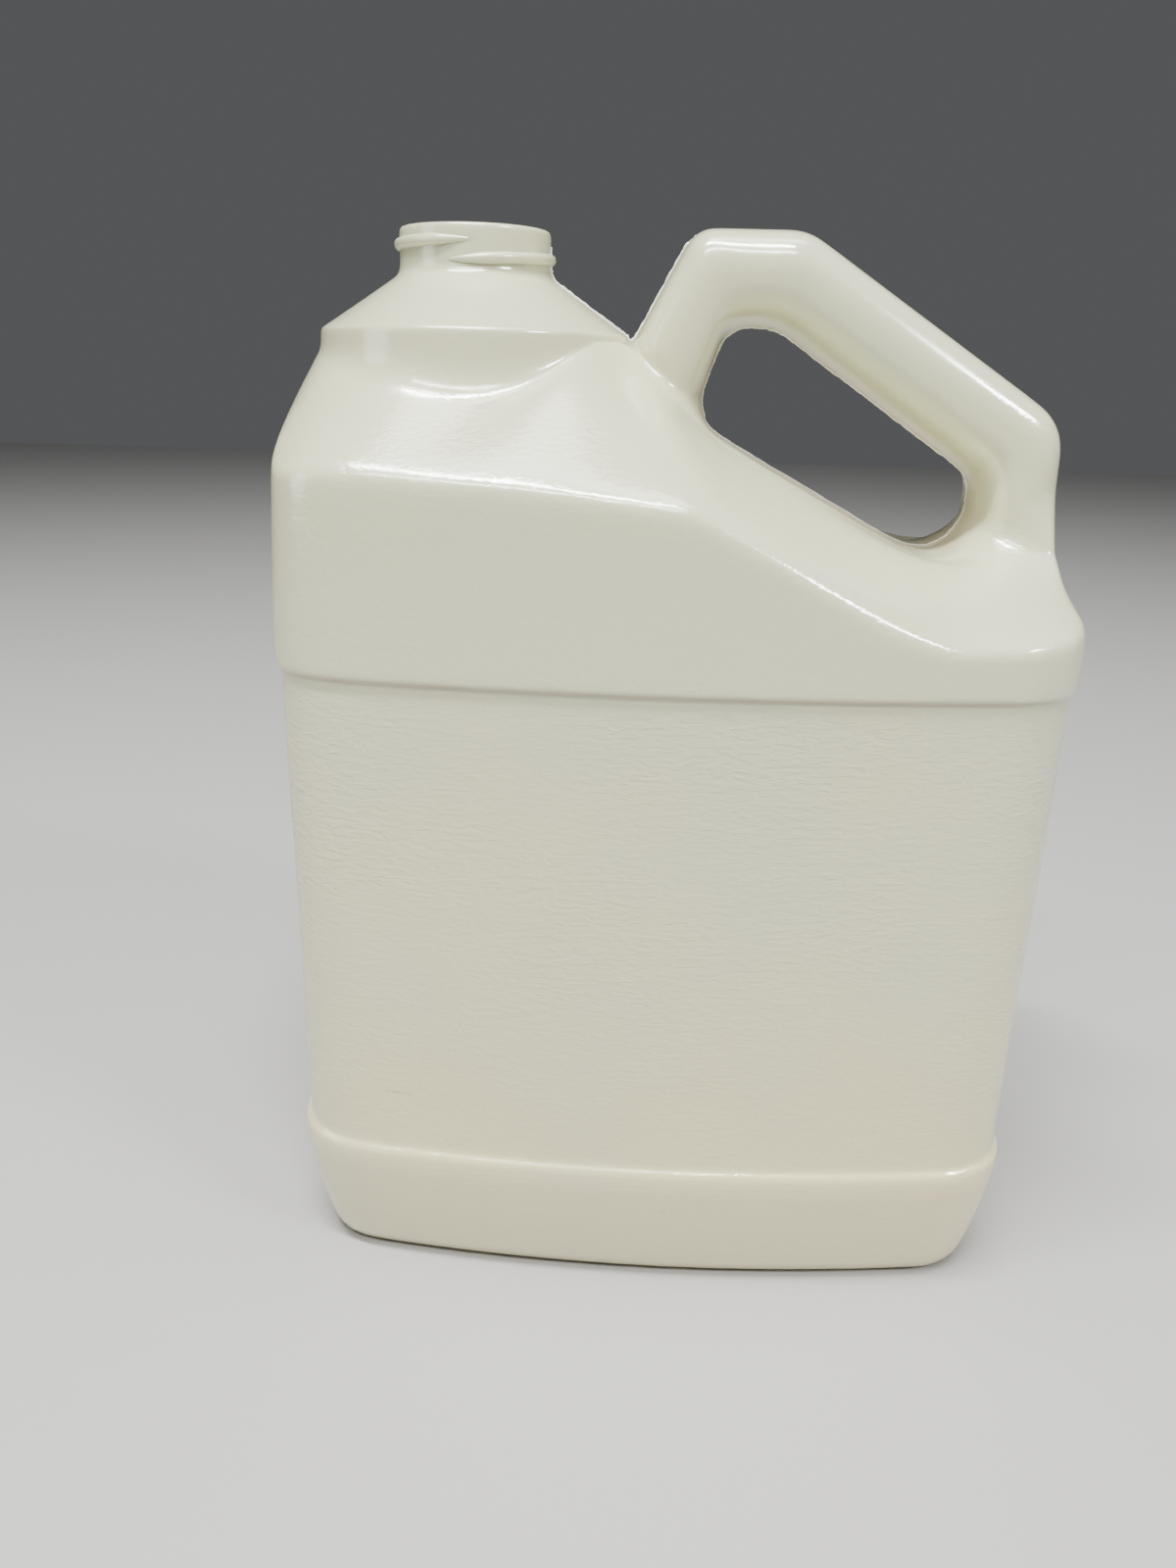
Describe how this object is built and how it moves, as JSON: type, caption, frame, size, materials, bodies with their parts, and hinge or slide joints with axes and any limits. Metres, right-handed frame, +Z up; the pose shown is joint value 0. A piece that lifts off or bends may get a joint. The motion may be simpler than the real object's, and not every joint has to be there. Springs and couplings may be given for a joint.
{
  "type": "f-style jug",
  "caption": "Empty blow-moulded plastic jug: flat oblong body with a recessed panel, offset threaded neck and a hollow slanted handle.",
  "frame": {"origin": "centre of the jug's bounding box in plan, on the plane that it stands on", "axes": "+Z up, +X across the broad face from the neck towards the handle, +Y from the front face to the back; the two mould halves meet on y = 0"},
  "size_m": [0.181, 0.117, 0.2498],
  "materials": {
    "white_plastic": "natural white polyethylene, semi-gloss, with a fine leathery grain on the panel"
  },
  "bodies": {
    "root": {"jug": "white_plastic"}
  },
  "joints": []
}
